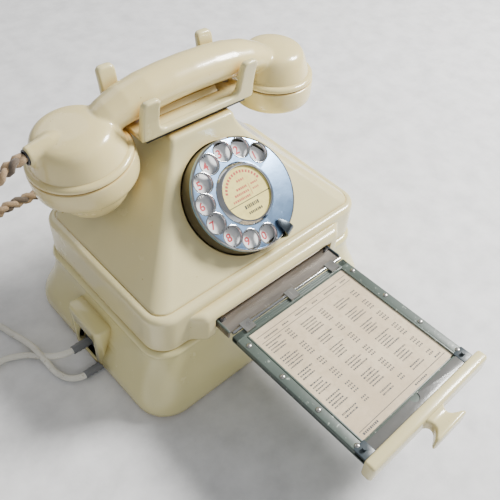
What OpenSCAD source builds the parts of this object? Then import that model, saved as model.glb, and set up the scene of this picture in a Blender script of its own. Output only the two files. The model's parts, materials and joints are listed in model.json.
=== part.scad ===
// Desk telephone of the late 1930s: a pyramid-shaped moulded case with a sloping dial, a handset on a
// horned cradle and a card drawer, standing on a separate bell box. Millimetres, +Z up, front towards -Y.
// The origin is on the surface that the feet stand on, below the middle of the bell box.

/* [Bell box] */
// Width of the bell box at its top
bell_w = 191; // [184:1:205]
// Depth of the bell box at its top
bell_d = 138; // [133:1:150]
// Height of the top of the bell box above the table
bell_h = 59; // [54:1:70]
// How far the foot of the bell box flares out on each side
bell_flare = 11.5; // [4:0.5:14]
// Corner radius of the bell box in plan
bell_r = 18; // [12:1:24]

/* [Case] */
// Width of the case at its skirt
case_w = 188; // [180:1:200]
// Depth of the case at its skirt
case_d = 135; // [130:1:146]
// Height of the skirt
skirt_h = 30; // [27:1:34]
// Corner radius of the skirt in plan
skirt_r = 16; // [10:1:20]
// Wall thickness of the mouldings
wall = 3; // [2.4:0.2:3.4]
// Width of the neck under the cradle
neck_w = 46; // [42:1:52]
// Depth of the neck, front to back
neck_d = 44; // [40:1:50]
// Distance of the neck's middle behind the middle of the case
neck_y = 27.6; // [24:0.2:31]
// Height of the neck's top above the table
neck_z = 157; // [150:1:168]

/* [Dial] */
// Diameter of the finger plate
plate_d = 76.2; // [72:0.2:78]
// Radius of the circle that the finger holes lie on
hole_circle_r = 30.2; // [28:0.1:30.4]
// Diameter of a finger hole
hole_d = 13.2; // [12:0.1:13.4]
// Angle between two finger holes
hole_step = 25.8; // [25:0.1:28]
// Lean of the dial back from upright
dial_lean = 42.5; // [38:0.5:48]
// Height of the dial's middle above the table
dial_z = 128.3; // [125:0.1:130]
// Distance of the dial's middle in front of the middle of the case
dial_y = 39.4; // [38:0.1:42]

/* [Handset] */
// Distance between the middles of the ear and mouth caps
caps_apart = 157; // [150:1:162]
// Outer diameter of the ear cap
cap_d = 60.5; // [57:0.5:62]
// Lean of the mouth cap towards the ear cap
mouth_tilt = 9; // [4:0.5:10]
// Height of the handle's middle line at its highest
handle_z = 181; // [178:0.5:186]
// How far the handset lies to the right of the middle of the case
handset_x = 5.7; // [3:0.1:7]
// Height of the open face of the caps
cap_z = 136; // [134:0.5:139]

/* [Drawer] */
// Width of the card tray
tray_w = 106; // [98:1:108]
// How far the open drawer's front stands out from the skirt
drawer_out = 134; // [110:1:140]
// Upward slope of the drawer towards its front
drawer_slope = 1.2; // [0.4:0.1:1.4]
// Width of the drawer's front bar
bar_w = 113; // [108:1:118]

/* [Cords] */
// Diameter of the plaited handset cord
hand_cord_d = 7.6; // [7:0.1:8]
// Diameter of the two line cords
line_cord_d = 4.6; // [4:0.1:5]

/* [Hidden] */
$fn = 64;
fit = 0.3; // clearance between neighbouring pieces that don't touch
ivory = [0.93, 0.88, 0.7];
steel = [0.62, 0.63, 0.64];
dark = [0.12, 0.12, 0.13];
brass = [0.78, 0.62, 0.3];
copper = [0.72, 0.42, 0.25];
white = [0.95, 0.95, 0.92];

foot_h = 3;
foot_d = 14;
base_t = 1.5;
edge_gap = 1; // gap between the bell box's edge and the table
base_top = foot_h + base_t;
case_z = bell_h + fit; // underside of the skirt
skirt_top = case_z + skirt_h;
slot_w = tray_w + 2;
slot_top = case_z + 16.5;
lug_w = 8;
lug_out = 7;
lug_h = 22;
front_y = -case_d / 2;

// --- Shapes ---

// One ring of a rounded rectangle from x = -hx to hx and y = y0 to y1, counter-clockwise, at height z.
function ring(hx, y0, y1, r, z) = [for (c = [[hx - r, y1 - r, 0], [r - hx, y1 - r, 90], [r - hx,
    y0 + r, 180],
    [hx - r, y0 + r, 270]]) for (a = [0 : 18 : 90]) [c[0] + r * cos(c[2] + a),
    c[1] + r * sin(c[2] + a), z]];

// Joins rings of equal length, from first to last, into one closed solid.
module loft(rings) {
    n = len(rings[0]);
    last = (len(rings) - 1) * n;
    sides = [for (k = [0 : len(rings) - 2]) for (i = [0 : n - 1]) let (a = k * n, b = a + n,
        j = (i + 1) % n)
        each [[a + i, b + i, b + j], [a + i, b + j, a + j]]];
    polyhedron([for (r = rings) each r],
        concat([[for (i = [0 : n - 1]) i]], sides, [[for (i = [n - 1 : -1 : 0]) last + i]]));
}

// A tube of radius r swept along points p, with upright sections turned to the path.
module tube(p, r, sides = 8) {
    n = len(p);
    function ahead(i) = let (d = p[min(i + 1, n - 1)] - p[max(i - 1, 0)]) d / norm(d);
    function side(t) = let (s = cross(t, [0, 0, 1])) norm(s) < 0.05 ? [0, 1, 0] : s / norm(s);
    loft([for (i = [n - 1 : -1 : 0]) let (t = ahead(i), s = side(t), u = cross(s, t))
        [for (k = [0 : sides - 1]) p[i] + r * (cos(360 * k / sides) * s + sin(360 * k / sides) * u)]]);
}

// Points of a smooth curve through the chosen points p, with m steps from each to the next.
function curve(p, m) = [for (i = [0 : len(p) - 2]) let (a = p[max(i - 1, 0)], b = p[i], c = p[i + 1],
    d = p[min(i + 2, len(p) - 1)]) for (k = [0 : (i == len(p) - 2 ? m : m - 1)]) let (t = k / m)
    0.5 * (2 * b + (c - a) * t + (2 * a - 5 * b + 4 * c - d) * t * t + (3 * b - a - 3 * c + d) * t * t * t)];

module rod_x(length, d) rotate([0, 90, 0]) cylinder(d = d, h = length, center = true);
module rod_y(length, d) rotate([90, 0, 0]) cylinder(d = d, h = length, center = true);
module both() { children(); mirror([1, 0, 0]) children(); }
module tube_z(od, id, h) difference() {
    cylinder(d = od, h = h);
    translate([0, 0, -1]) cylinder(d = id, h = h + 2);
}
// A box given by its lowest corner and size, like cube(), kept short for readability.
module block(at, size) translate(at) cube(size);
module screw(head_d, head_h, d, length) {
    difference() {
        cylinder(d = head_d, h = head_h);
        block([-head_d, -0.4, head_h - 0.6], [2 * head_d, 0.8, 1]);
    }
    translate([0, 0, -length]) cylinder(d = d, h = length + 0.01);
}

// --- Bell box ---

// Outline of the bell box taken in by g, at height z and with the flare e.
function bell_ring(g, e, z) = ring(bell_w / 2 + e - g, -bell_d / 2 - e + g, bell_d / 2 + e - g,
    bell_r + e / 2 - g, z);
boss_y = 3; // middle of the cord entry
boss_half = 19;
boss_out = 3.5;
boss_top = 43;
mouth_half = 12;
mouth_z = [6, 30];

module bell_case() color(ivory) difference() {
    union() {
        loft([bell_ring(1.5, bell_flare, edge_gap), bell_ring(0, bell_flare, 6), bell_ring(0,
            bell_flare, 14),
            bell_ring(0, 0.75 * bell_flare, 22), bell_ring(0, 0.35 * bell_flare, 31), bell_ring(0, 1,
            41),
            bell_ring(0, 0, 50), bell_ring(0, 0, bell_h - 2), bell_ring(2, 0, bell_h)]);
        loft([for (z = [edge_gap, boss_top]) ring_at(-bell_w / 2 - bell_flare - boss_out / 2,
            -bell_w / 2 + 1,
            boss_y - boss_half, boss_y + boss_half, z)]);
    }
    difference() {
        loft([bell_ring(wall, bell_flare, edge_gap - 1), bell_ring(wall, bell_flare, 14),
            bell_ring(wall, 0.75 * bell_flare, 22), bell_ring(wall, 0.35 * bell_flare, 31),
            bell_ring(wall, 1, 41), bell_ring(wall, 0, bell_h - wall)]);
        at_corners() translate([0, 0, base_top + 0.1]) cylinder(d = 9, h = bell_h);
    }
    at_corners() cylinder(d = 3.1, h = 16);
    // Cord entry through the left wall, and a notch in the edge below it
    block([-bell_w / 2 - 30, boss_y - mouth_half, mouth_z[0]], [40, 2 * mouth_half,
    mouth_z[1] - mouth_z[0]]);
    block([-bell_w / 2 - 30, base_cord_y - 4, 0], [40, 8, 6.5]);
    // Opening in the top for the cord between the two boxes
    translate([0, bell_d / 4, bell_h - 2 * wall]) cylinder(d = 14, h = 3 * wall);
}
function ring_at(x0, x1, y0, y1, z) = [for (q = ring((x1 - x0) / 2, y0, y1, 4, z)) q + [(x0 + x1) / 2,
    0, 0]];

in_x = bell_w / 2 + bell_flare - wall - 1;
in_y = bell_d / 2 + bell_flare - wall - 1;
foot_x = in_x - 20;
foot_y = in_y - 20;
module at_corners() for (x = [-1, 1], y = [-1, 1]) translate([x * foot_x, y * foot_y, 0]) children();

module bell_base() color(steel) difference() {
    loft([for (z = [foot_h, base_top]) ring(in_x, -in_y, in_y, bell_r, z)]);
    block([-in_x - 1, base_cord_y - 5, 0], [8, 10, 10]);
    at_corners() cylinder(d = 3.4, h = 10);
    translate([0, 0, -1]) gong_places() cylinder(d = 4, h = 10);
}
module feet() color(dark) {
    at_corners() difference() {
        cylinder(d1 = foot_d - 2, d2 = foot_d, h = foot_h);
        translate([0, 0, 1]) cylinder(d = 7, h = foot_h);
        translate([0, 0, -1]) cylinder(d = 3.4, h = foot_h + 2);
    }
    // the middle foot is stuck on, without a screw
    cylinder(d1 = foot_d - 2, d2 = foot_d, h = foot_h);
}
module base_screws() color(steel) at_corners() translate([0, 0, 1.8]) {
    translate([0, 0, -0.8]) cylinder(d = 6, h = 0.8);
    cylinder(d = 3, h = base_top + 5);
}

gong_d = 56;
gong_gap = 62; // distance between the middles of the gongs
gong_y = -28;
gong_z = 20;
module gong_places() for (x = [-1, 1]) translate([x * gong_gap / 2, gong_y, 0]) children();
module gongs() color(brass) gong_places() translate([0, 0, gong_z]) rotate_extrude()
    polygon([[2.2, 13], [6, 13], [15, 11], [22, 7], [gong_d / 2 - 1.5, 0], [gong_d / 2, 0], [23.5, 8.2],
        [15.6, 12.6], [6, 14.6], [2.2, 14.6]]);
module gong_posts() color(steel) gong_places() {
    translate([0, 0, base_top]) cylinder(d = 10, h = gong_z + 13 - base_top);
    cylinder(d = 3.9, h = 40);
    translate([0, 0, gong_z + 14.6]) cylinder(d = 8, h = 2.5);
}
coil_y = 26;
module ringer_frame() color(steel) difference() {
    union() {
        block([-26, coil_y - 9, base_top], [52, 18, 3]);
        both() block([22, coil_y - 9, base_top], [3, 18, 34]);
        block([-25, coil_y - 5, 34], [50, 10, 3]);
        translate([0, coil_y - 10, 34]) block([-4, -10, 0], [8, 16, 3]);
    }
    translate([0, coil_y - 16, 30]) cylinder(d = 3.2, h = 20);
}
module ringer_coils() color(copper) both() translate([11, coil_y, base_top + 3]) {
    cylinder(d = 18, h = 1.5);
    cylinder(d = 16, h = 24);
    translate([0, 0, 22.5]) cylinder(d = 18, h = 1.5);
}
module hammer() color(brass) {
    translate([0, coil_y - 16, 30.5]) {
        cylinder(d = 3, h = 10);
        translate([0, 0, -1.8]) cylinder(d = 9, h = 4);
    }
    translate([0, coil_y - 16 - 19, 30.5]) rotate([90, 0, 0]) cylinder(d = 1.6, h = 32, center = true);
    translate([0, gong_y - 2, 30.5]) sphere(d = 6, $fn = 32);
}
module capacitor() color(steel) block([48, 4, base_top], [28, 44, 24]);
module bell_terminals() color(dark) {
    block([-80, 26, base_top], [32, 16, 9]);
    for (k = [0 : 4]) translate([-77 + 6.5 * k, 34, base_top + 9]) color(brass) cylinder(d = 4.5,
        h = 3);
}
slot_cord_y = 5;
slot_cord_z = 13;
base_cord_y = -12;
base_cord_z = 3.2;
sleeve_d = 6;
sleeve_x = -bell_w / 2 - bell_flare;
module cord_sleeves() color([0.4, 0.42, 0.45]) {
    translate([sleeve_x + 2, slot_cord_y, slot_cord_z]) rod_x(26, sleeve_d);
    translate([sleeve_x - 4, base_cord_y, base_cord_z]) rod_x(18, sleeve_d - 0.4);
}

// --- Case ---

// Share of the way from the neck (0) to the foot of the slope (1) at height share t.
blend = 0.09;
knee = 0.86;
function hinge(s) = (s + sqrt(s * s + 4 * blend * blend)) / 2;
function spread(t) = hinge(1 - t / knee) / hinge(1);
step_in = 6; // ledge between the skirt's edge and the foot of the slope
slope_z = skirt_top + 1;
function slope_ring(t, g) = let (s = spread(t),
    hx = neck_w / 2 + (case_w / 2 - step_in - neck_w / 2) * s,
    y0 = neck_y - neck_d / 2 + (front_y + step_in - neck_y + neck_d / 2) * s,
    y1 = neck_y + neck_d / 2 + (case_d / 2 - step_in - neck_y - neck_d / 2) * s)
    ring(hx - g, y0 + g, y1 - g, 2.5 + 8 * s, slope_z + (neck_z - slope_z) * t);
function skirt_ring(g, z) = ring(case_w / 2 - g, front_y + g, case_d / 2 - g, skirt_r - g, z);
levels = [0, 0.25, 0.5, 0.64, 0.72, 0.79, 0.86, 0.93, 1];

module upper_case() color(ivory) difference() {
    union() {
        loft(concat([skirt_ring(0, case_z), skirt_ring(0, skirt_top - 4), skirt_ring(1.2,
            skirt_top - 1.2),
            skirt_ring(4, skirt_top)], [for (t = levels) slope_ring(t, 0)]));
        both() block([slot_w / 2, front_y - lug_out, case_z], [lug_w, lug_out + 2, lug_h]);
        block([-slot_w / 2 - 1, front_y - lug_out, slot_top], [slot_w + 2, lug_out + 2, 5]);
    }
    in_case();
    block([-slot_w / 2, front_y - lug_out - 1, case_z - 1], [slot_w, wall + lug_out + 2,
        slot_top - case_z + 1]);
    translate([0, neck_y, 0]) block([-14, -14, neck_z - 20], [28, 28, 30]);
    in_dial() {
        translate([0, 0, -60]) cylinder(d = mech_d + 2, h = 60);
        translate([0, 0, -face_drop - 0.1]) cylinder(d = plate_d + 2, h = 30);
    }
    // Hole for the handset cord's gland in the back
    translate([gland_x, case_d / 2, gland_z]) rod_y(30, gland_d + 0.2);
}
// Hollow of the case, with four posts for the chassis left standing in it
module in_case() difference() {
    loft(concat([skirt_ring(wall, case_z - 1), skirt_ring(wall, skirt_top - wall)],
        [for (t = [0, 0.25, 0.5, 0.64, 0.72, 0.79, 0.86]) slope_ring(t, wall + 2)]));
    chassis_places() translate([0, 0, chassis_t + 0.1]) cylinder(d = 8, h = 16);
}
chassis_z = slot_top + 0.5;
chassis_t = 1.5;
module chassis() color(steel) difference() {
    loft([for (z = [chassis_z, chassis_z + chassis_t]) ring(case_w / 2 - wall - 1, front_y + wall + 1,
        case_d / 2 - wall - 1, skirt_r - wall - 1, z)]);
    in_dial() translate([0, 0, -60]) cylinder(d = mech_d + 6, h = 80);
    translate([gland_x, case_d / 2 - wall, 0]) cylinder(d = gland_d + 8, h = 200);
}
module chassis_places() for (x = [-1, 1], y = [-1, 1]) translate([x * 78, y * 52,
    chassis_z]) children();
module chassis_screws() color(steel) chassis_places() translate([0, 0, -1.6]) cylinder(d = 6, h = 1.6);

drawer_top = 71; // height of the tray's surface where it passes the skirt
module in_drawer() translate([0, front_y, drawer_top]) rotate([-drawer_slope, 0, 0]) children();
slider_in = 5; // how far the open drawer still reaches in past the skirt
rail_t = 2;
module drawer_guides() color(steel) both()
    block([slot_w / 2 + 0.2, front_y + wall + 1, case_z + 0.6], [rail_t, case_d - 2 * wall - 9,
        chassis_z - case_z - 0.8]);

// --- Dial ---

module in_dial() translate([0, -dial_y, dial_z]) rotate([dial_lean, 0, 0]) children();
face_drop = 13.4; // the finger plate's height over the sloping face
plate_t = 1.2;
mech_d = 62;
module dial_cup() color([0.35, 0.34, 0.28]) in_dial() translate([0, 0, -face_drop]) difference() {
    cylinder(d1 = plate_d + 1, d2 = plate_d - 1, h = face_drop - 4.4);
    translate([0, 0, 2]) cylinder(d = plate_d - 5, h = face_drop);
    translate([0, 0, -1]) cylinder(d = mech_d - 4, h = face_drop);
}
number_z = -6;
module number_plate() color(white) in_dial() translate([0, 0, number_z]) tube_z(plate_d - 5.4, 30, 1);
module dial_mechanism() color(brass) in_dial() {
    difference() {
        translate([0, 0, -face_drop - 16]) cylinder(d = mech_d, h = 15.9);
        translate([0, 0, -face_drop - 14]) cylinder(d = mech_d - 4, h = 20);
        translate([0, 0, -face_drop - 20]) cylinder(d = spindle_d + 0.12, h = 20);
    }
    translate([governor_at, 0, -face_drop - 14.01]) cylinder(d = 2.4, h = 10);
}
spindle_d = 6;
function hole_angle(k) = 40.3 + hole_step * k;
module finger_plate() color([0.75, 0.76, 0.78]) in_dial() {
    difference() {
        union() {
            translate([0, 0, -plate_t]) cylinder(d = plate_d, h = plate_t);
            translate([0, 0, -3.2]) tube_z(plate_d, plate_d - 2, 3.2);
        }
        for (k = [0 : 9]) rotate(hole_angle(k)) translate([hole_circle_r, 0, -5]) cylinder(d = hole_d,
            h = 10);
        translate([0, 0, -5]) cylinder(d = spindle_d - 2, h = 10);
    }
    difference() {
        translate([0, 0, -face_drop - 15.5]) cylinder(d = spindle_d,
            h = face_drop + 15.4 - plate_t + 0.2);
        translate([0, 0, -5]) cylinder(d = spindle_d - 2, h = 10);
    }
}
label_d = 36;
module label_ring() color(steel) in_dial() tube_z(label_d + 6, label_d, 2.4);
module label_card() color([0.96, 0.9, 0.62]) in_dial() cylinder(d = label_d - 0.2, h = 1);

// Involute gear of the given teeth and module, drawn flat, with its teeth thinned by play.
function involute(rb, a) = [rb * (cos(a) + a * PI / 180 * sin(a)),
    rb * (sin(a) - a * PI / 180 * cos(a))];
function turned(p, a) = [p[0] * cos(a) - p[1] * sin(a), p[0] * sin(a) + p[1] * cos(a)];
module gear(teeth, m, play) {
    rb = teeth * m / 2 * cos(20);
    ro = teeth * m / 2 + 0.9 * m;
    half = 90 / teeth + (tan(20) - 20 * PI / 180) * 180 / PI - play;
    top = sqrt(pow(ro / rb, 2) - 1) * 180 / PI;
    flank = [for (k = [0 : 4]) turned(involute(rb, top * k / 4), -half)];
    root = teeth * m / 2 - 1.15 * m;
    tooth = concat([turned([root, 0], -half)], flank, [for (k = [4 : -1 : 0]) [flank[k][0],
        -flank[k][1]]],
        [turned([root, 0], half)]);
    polygon([for (i = [0 : teeth - 1]) each [for (p = tooth) turned(p, 360 * i / teeth)]]);
}
gear_m = 0.75;
main_teeth = 48;
governor_teeth = 12;
governor_at = gear_m * (main_teeth + governor_teeth) / 2 + 0.1;
gear_z = -face_drop - 9;
module main_gear() color(brass) in_dial() translate([0, 0, gear_z]) linear_extrude(2.5) difference() {
    gear(main_teeth, gear_m, 0.35);
    circle(d = spindle_d);
}
module governor() color(brass) in_dial() {
    translate([governor_at, 0, gear_z - 0.3]) linear_extrude(3.1) difference() {
        rotate(180 + 180 / governor_teeth) gear(governor_teeth, gear_m, 1.2);
        circle(d = 2.54);
    }
}
stop_angle = 295;
module finger_stop() color(steel) in_dial() rotate(stop_angle) {
    translate([28, -2, 1]) cube([plate_d / 2 - 25, 4, 1.4]);
    translate([plate_d / 2 + 0.6, -4, -face_drop + 0.5]) cube([2.4, 8, face_drop + 1.9]);
}

// --- Cradle and switch ---

horn_x = [31.7, 44.8]; // inner and outer faces of a horn
horn_gap = 27; // half the distance between the front and back horns' tips
horn_top = 190;
cradle_z = neck_z + 3.2;
module cradle_plate() color(dark) translate([0, neck_y, neck_z + 0.1]) difference() {
    block([-40, -19, 0], [80, 38, 3]);
    block([-27.5, -8.5, -1], [55, 17, 6]);
}
// One horn's outline from the side: it rises and leans away from the handset.
module horn_outline() polygon([[6, 0], [horn_gap - 5, 0], [horn_gap - 1, 4], [horn_gap,
    horn_top - cradle_z - 1],
    [horn_gap - 2, horn_top - cradle_z], [horn_gap - 4, horn_top - cradle_z - 1], [horn_gap - 7, 12],
    [horn_gap - 10, 7], [9, 4], [6, 3.5]]);
module cradle() color(ivory) difference() {
    cradle_solid();
    at_mouth() translate([0, 0, -5]) cylinder(d = mouth_d + 0.8, h = 40);
}
module cradle_solid() translate([0, neck_y, cradle_z]) {
    difference() {
        block([-horn_x[1], -22, 0], [2 * horn_x[1], 44, 3.5]);
        block([-27.5, -8, -1], [55, 16, 8]);
    }
    both() for (s = [-1, 1]) scale([1, s, 1]) translate([horn_x[0], 0, 0]) rotate([90, 0, 90])
        linear_extrude(horn_x[1] - horn_x[0]) horn_outline();
    for (s = [-1, 1]) scale([1, s, 1]) block([-horn_x[0], 18, 3.4], [2 * horn_x[0], 3.5, 4.6]);
}
module cradle_screws() color(steel) both() translate([38, neck_y, cradle_z + 3.5]) cylinder(d = 5,
    h = 0.8);
plunger_top = handle_z - 14;
module plunger() color(ivory) translate([-26, neck_y, cradle_z + 1.2]) rotate([90, 0,
    90]) linear_extrude(52)
    polygon([[-7.5, 0], [7.5, 0], [7.5, 2.5], [4.5, plunger_top - cradle_z - 1.2],
        [-4.5, plunger_top - cradle_z - 1.2], [-7.5, 2.5]]);
module plunger_rod() color(steel) translate([0, neck_y, 0]) both()
    translate([8, 0, 118]) cylinder(d = 4, h = cradle_z + 1.2 - 118);
module switch_springs() color(brass) for (k = [0 : 3]) block([-22, neck_y - 14 + 7 * k,
    chassis_z + chassis_t],
    [0.6, 5, 34]);
module induction_coil() color(copper) translate([-50, 28, chassis_z + chassis_t + 8.7]) {
    rod_y(40, 15);
    for (s = [-1, 1]) translate([0, s * 20, 0]) rod_y(2, 17);
}
module terminal_block() color(dark) {
    block([32, 14, chassis_z + chassis_t], [18, 40, 8]);
    for (k = [0 : 5]) translate([41, 18 + 6.5 * k, chassis_z + chassis_t + 8]) color(brass)
        cylinder(d = 4.5, h = 3);
}

// --- Drawer ---

rod_out = 20.5; // how far the hinge rod lies in front of the skirt
tray_t = 5;
card_w = 90;
card_l = 96;
module drawer_slider() color(steel) in_drawer() {
    block([-tray_w / 2, -rod_out + 1.5, -1.2], [tray_w, rod_out + slider_in - 1.5, 1.2]);
    both() block([tray_w / 2 - 1.2, -rod_out + 1.5, -tray_t], [1.2, rod_out + slider_in - 1.5,
        tray_t - 1]);
}
bar_t = 8;
module drawer_tray() color([0.42, 0.47, 0.44]) in_drawer() {
    difference() {
        block([-tray_w / 2, -drawer_out, -tray_t], [tray_w, drawer_out - rod_out - 1.5, tray_t]);
        block([-card_w / 2 - 1, -rod_out - 8 - card_l - 1, -1.6], [card_w + 2, card_l + 2, 3]);
        block([-tray_w / 2 + 1.2, -drawer_out + 1.2, -tray_t - 1], [tray_w - 2.4,
            drawer_out - rod_out - 4, 2.8]);
        tray_screw_places() cylinder(d = 2, h = 20, center = true);
    }
}
screw_pitch = 32;
module tray_screw_places() for (x = [-1, 1], k = [0 : 3]) translate([x * 49.4,
    -34.5 - screw_pitch * k * 0.94, 0])
    children();
module hinge_rod() color(steel) in_drawer() translate([0, -rod_out, 0.2]) rod_x(tray_w - 4, 2.6);
module hinge_clips() color(steel) in_drawer() for (x = [-40, 0, 40]) translate([x - 4, -rod_out - 6,
    0.01])
    difference() {
        cube([8, 8, 2]);
        translate([4, 6, 0.19]) rod_x(10, 2.62);
    }
module number_card() color([0.85, 0.79, 0.66]) in_drawer()
    block([-card_w / 2, -rod_out - 8 - card_l, -1.5], [card_w, card_l, 0.5]);
module card_window() color([0.8, 0.85, 0.85, 0.3]) in_drawer()
    block([-card_w / 2, -rod_out - 8 - card_l, -0.95], [card_w, card_l, 0.5]);
module tray_screws() color(steel) in_drawer() tray_screw_places() translate([0, 0, 0.01]) {
    cylinder(d = 3.6, h = 1);
    translate([0, 0, -3.5]) cylinder(d = 1.9, h = 3.6);
}
module drawer_front() color(ivory) in_drawer() difference() {
    block([-bar_w / 2, -drawer_out - bar_t, -9.5], [bar_w, bar_t - 0.05, 15]);
    translate([0, -drawer_out - bar_t, -2.5]) rod_y(40, 5);
}
module drawer_knob() color(ivory) in_drawer() translate([0, -drawer_out - bar_t - 0.05, -2.5]) {
    rotate([90, 0, 0]) linear_extrude(2) square([18, 11], center = true);
    hull() {
        translate([-8, -8, -5]) cube([16, 1, 10]);
        translate([-15, -12.5, -6]) cube([30, 2, 12]);
    }
    block([-8, -8, -5], [16, 6.5, 10]);
    translate([0, 3.9, 0]) rod_y(7.8, 4.8);
}

// --- Handset ---

mouth_x = handset_x - caps_apart / 2;
ear_x = handset_x + caps_apart / 2;
mouth_d = cap_d + 6.5;
module at_mouth() translate([mouth_x, neck_y, cap_z]) rotate([0, -mouth_tilt, 0]) children();
module at_ear() translate([ear_x, neck_y, cap_z]) children();
// Handle sections: distance from the middle, height below handle_z, half width, half height
handle_rings = [[-74, 15, 9, 7], [-62, 9, 12.5, 9.5], [-50, 4.5, 13.8, 11], [-34, 1.8, 14.4, 11.8],
    [-17, 0.5, 14.6, 12], [0, 0, 14.6, 12], [17, 0.5, 14.6, 12], [34, 1.8, 14.4, 11.8], [50, 4.5,
    13.8, 11],
    [62, 9, 12.5, 9.5], [74, 15, 9, 7]];
module handle() loft([for (s = handle_rings) [for (a = [0 : 15 : 345])
    [handset_x + s[0], neck_y + s[2] * cos(a), handle_z - s[1] + s[3] * sin(a)]]]);
cap_h = 17;
// Solid of one end of the handset: bead, barrel and shoulder above a cap of diameter d
module head(d) rotate_extrude() polygon([[0, 4], [d / 2 - 2.5, 4], [d / 2 - 2.5, cap_h + fit],
    [d / 2 - 1, cap_h + fit],
    [d / 2 - 1, cap_h + 4], [d / 2 - 4, cap_h + 4.5], [d / 2 - 5.5, 32], [d / 2 - 7.5, 36],
    [d / 2 - 12, 39],
    [d / 2 - 20, 41], [0, 42]]);
cord_exit = [-107.5, neck_y, cap_z + 31];
module handset_body() color(ivory) difference() {
    union() {
        handle();
        at_mouth() head(mouth_d);
        at_ear() head(cap_d);
        translate(cord_exit + [8, 0, 0]) rod_x(16, 13);
    }
    at_mouth() translate([0, 0, -1]) cylinder(d = mouth_d - 10, h = 25);
    at_ear() translate([0, 0, -1]) cylinder(d = cap_d - 10, h = 25);
}
module cap(d, face_hole) difference() {
    cylinder(d = d, h = cap_h);
    translate([0, 0, 3.5]) cylinder(d = d - 4.8, h = 20);
    translate([0, 0, -1]) cylinder(d = face_hole, h = 10);
}
module ear_cap() color(ivory) at_ear() difference() {
    cap(cap_d, 4);
    for (a = [0 : 60 : 300]) rotate(a) translate([9, 0, -1]) cylinder(d = 3.4, h = 10);
}
module mouth_cap() color(ivory) at_mouth() cap(mouth_d, 30);
horn_len = 16.5;
horn_lean = 17; // the horn leans this much more than its cap
module mouth_horn() color(ivory) at_mouth() difference() {
    rotate([0, -horn_lean, 0]) translate([0, 0, -horn_len]) cylinder(d1 = 41, d2 = 52,
        h = horn_len + 9);
    translate([0, 0, -0.1]) cylinder(r = 60, h = 40);
    rotate([0, -horn_lean, 0]) translate([0, 0, -horn_len - 1]) cylinder(d1 = 36, d2 = 24,
        h = horn_len + 20);
}
module receiver() color(dark) at_ear() translate([0, 0, 4]) cylinder(d = cap_d - 11, h = 18);
module transmitter() color(steel) at_mouth() translate([0, 0, 4]) cylinder(d = mouth_d - 11, h = 18);

// --- Cords ---

gland_x = -52;
gland_z = 81;
gland_d = 12;
module case_gland() color(dark) translate([gland_x, case_d / 2, gland_z]) {
    rod_y(12, gland_d);
    translate([0, 5, 0]) rod_y(2, gland_d + 4);
}
hand_r = hand_cord_d / 2;
upper_route = [[-108.4, 27.6, 167], [-113, 27.6, 167], [-124, 28, 161], [-136, 29, 152], [-149, 31,
    136],
    [-159, 34, 114], [-167, 40, 88], [-173, 50, 60], [-179, 64, 34], [-185, 82, 16], [-190, 100, 6],
    [-193, 112, 4],
    [-196, 127, 4]];
module hand_cord_upper() color([0.65, 0.5, 0.35]) tube(curve(upper_route, 3), hand_r, 10);
hand_coil = [-225, 165, 0];
hand_coil_r = 40;
module hand_cord_coil() color([0.65, 0.5, 0.35]) translate(hand_coil) rotate_extrude()
    translate([hand_coil_r - 8, 0]) square([16, 16]);
lower_route = [[-52, 73.5, 81], [-54, 83, 81], [-64, 91, 81], [-88, 93, 81], [-112, 94, 79], [-134,
    97, 66],
    [-150, 103, 42], [-161, 112, 19], [-171, 120.5, 14], [-182, 122, 12.2], [-198, 121, 12.2]];
module hand_cord_lower() color([0.45, 0.35, 0.28]) tube(curve(lower_route, 3), hand_r, 10);

line_r = line_cord_d / 2;
slot_route = [[-118, 5, 13], [-122, 6, 12.6], [-128, 14, 6], [-136, 25, 2.5], [-147, 33, 2.5], [-160,
    36.6, 2.5],
    [-180, 31, 2.5], [-199, 15, 2.5], [-209, 1, 2.5], [-213.5, -16, 2.5]];
module line_cord_slot() color(white) tube(curve(slot_route, 3), line_r);
slot_coil = [-250, -24, 0];
module coil_solid(r) rotate_extrude() translate([r - 10, 0]) square([20, 19]);
module line_cord_slot_coil() color(white) translate(slot_coil) coil_solid(27);
base_route = [[-120, -12, 3.2], [-125, -11, 3], [-131, -6, 2.5], [-135, 4, 2.6], [-136, 14, 5], [-137,
    27.5, 7.8],
    [-139, 41, 5], [-142, 54, 2.6], [-146, 66, 2.5], [-156, 72, 2.5], [-172, 70, 2.5], [-190, 66, 2.5],
    [-201, 68, 2.5], [-210, 74, 2.5]];
module line_cord_base() color(white) tube(curve(base_route, 3), line_r);
base_coil = [-245, 60, 0];
module line_cord_base_coil() color(white) translate(base_coil) coil_solid(27);
module line_plug() color(white) block([-302, -12, 0], [12, 28, 9]);
module junction_plug() color(white) block([-297, 20, 0], [12, 28, 9]);

bell_case();
bell_base();
feet();
base_screws();
gongs();
gong_posts();
ringer_frame();
ringer_coils();
hammer();
capacitor();
bell_terminals();
cord_sleeves();
upper_case();
chassis();
chassis_screws();
drawer_guides();
dial_cup();
number_plate();
dial_mechanism();
finger_plate();
label_ring();
label_card();
main_gear();
governor();
finger_stop();
cradle_plate();
cradle();
cradle_screws();
plunger();
plunger_rod();
switch_springs();
induction_coil();
terminal_block();
drawer_slider();
drawer_tray();
hinge_rod();
hinge_clips();
number_card();
card_window();
tray_screws();
drawer_front();
drawer_knob();
handset_body();
ear_cap();
mouth_cap();
mouth_horn();
receiver();
transmitter();
hand_cord_upper();
hand_cord_coil();
hand_cord_lower();
line_cord_slot();
line_cord_slot_coil();
line_plug();
line_cord_base();
line_cord_base_coil();
junction_plug();
case_gland();
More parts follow.
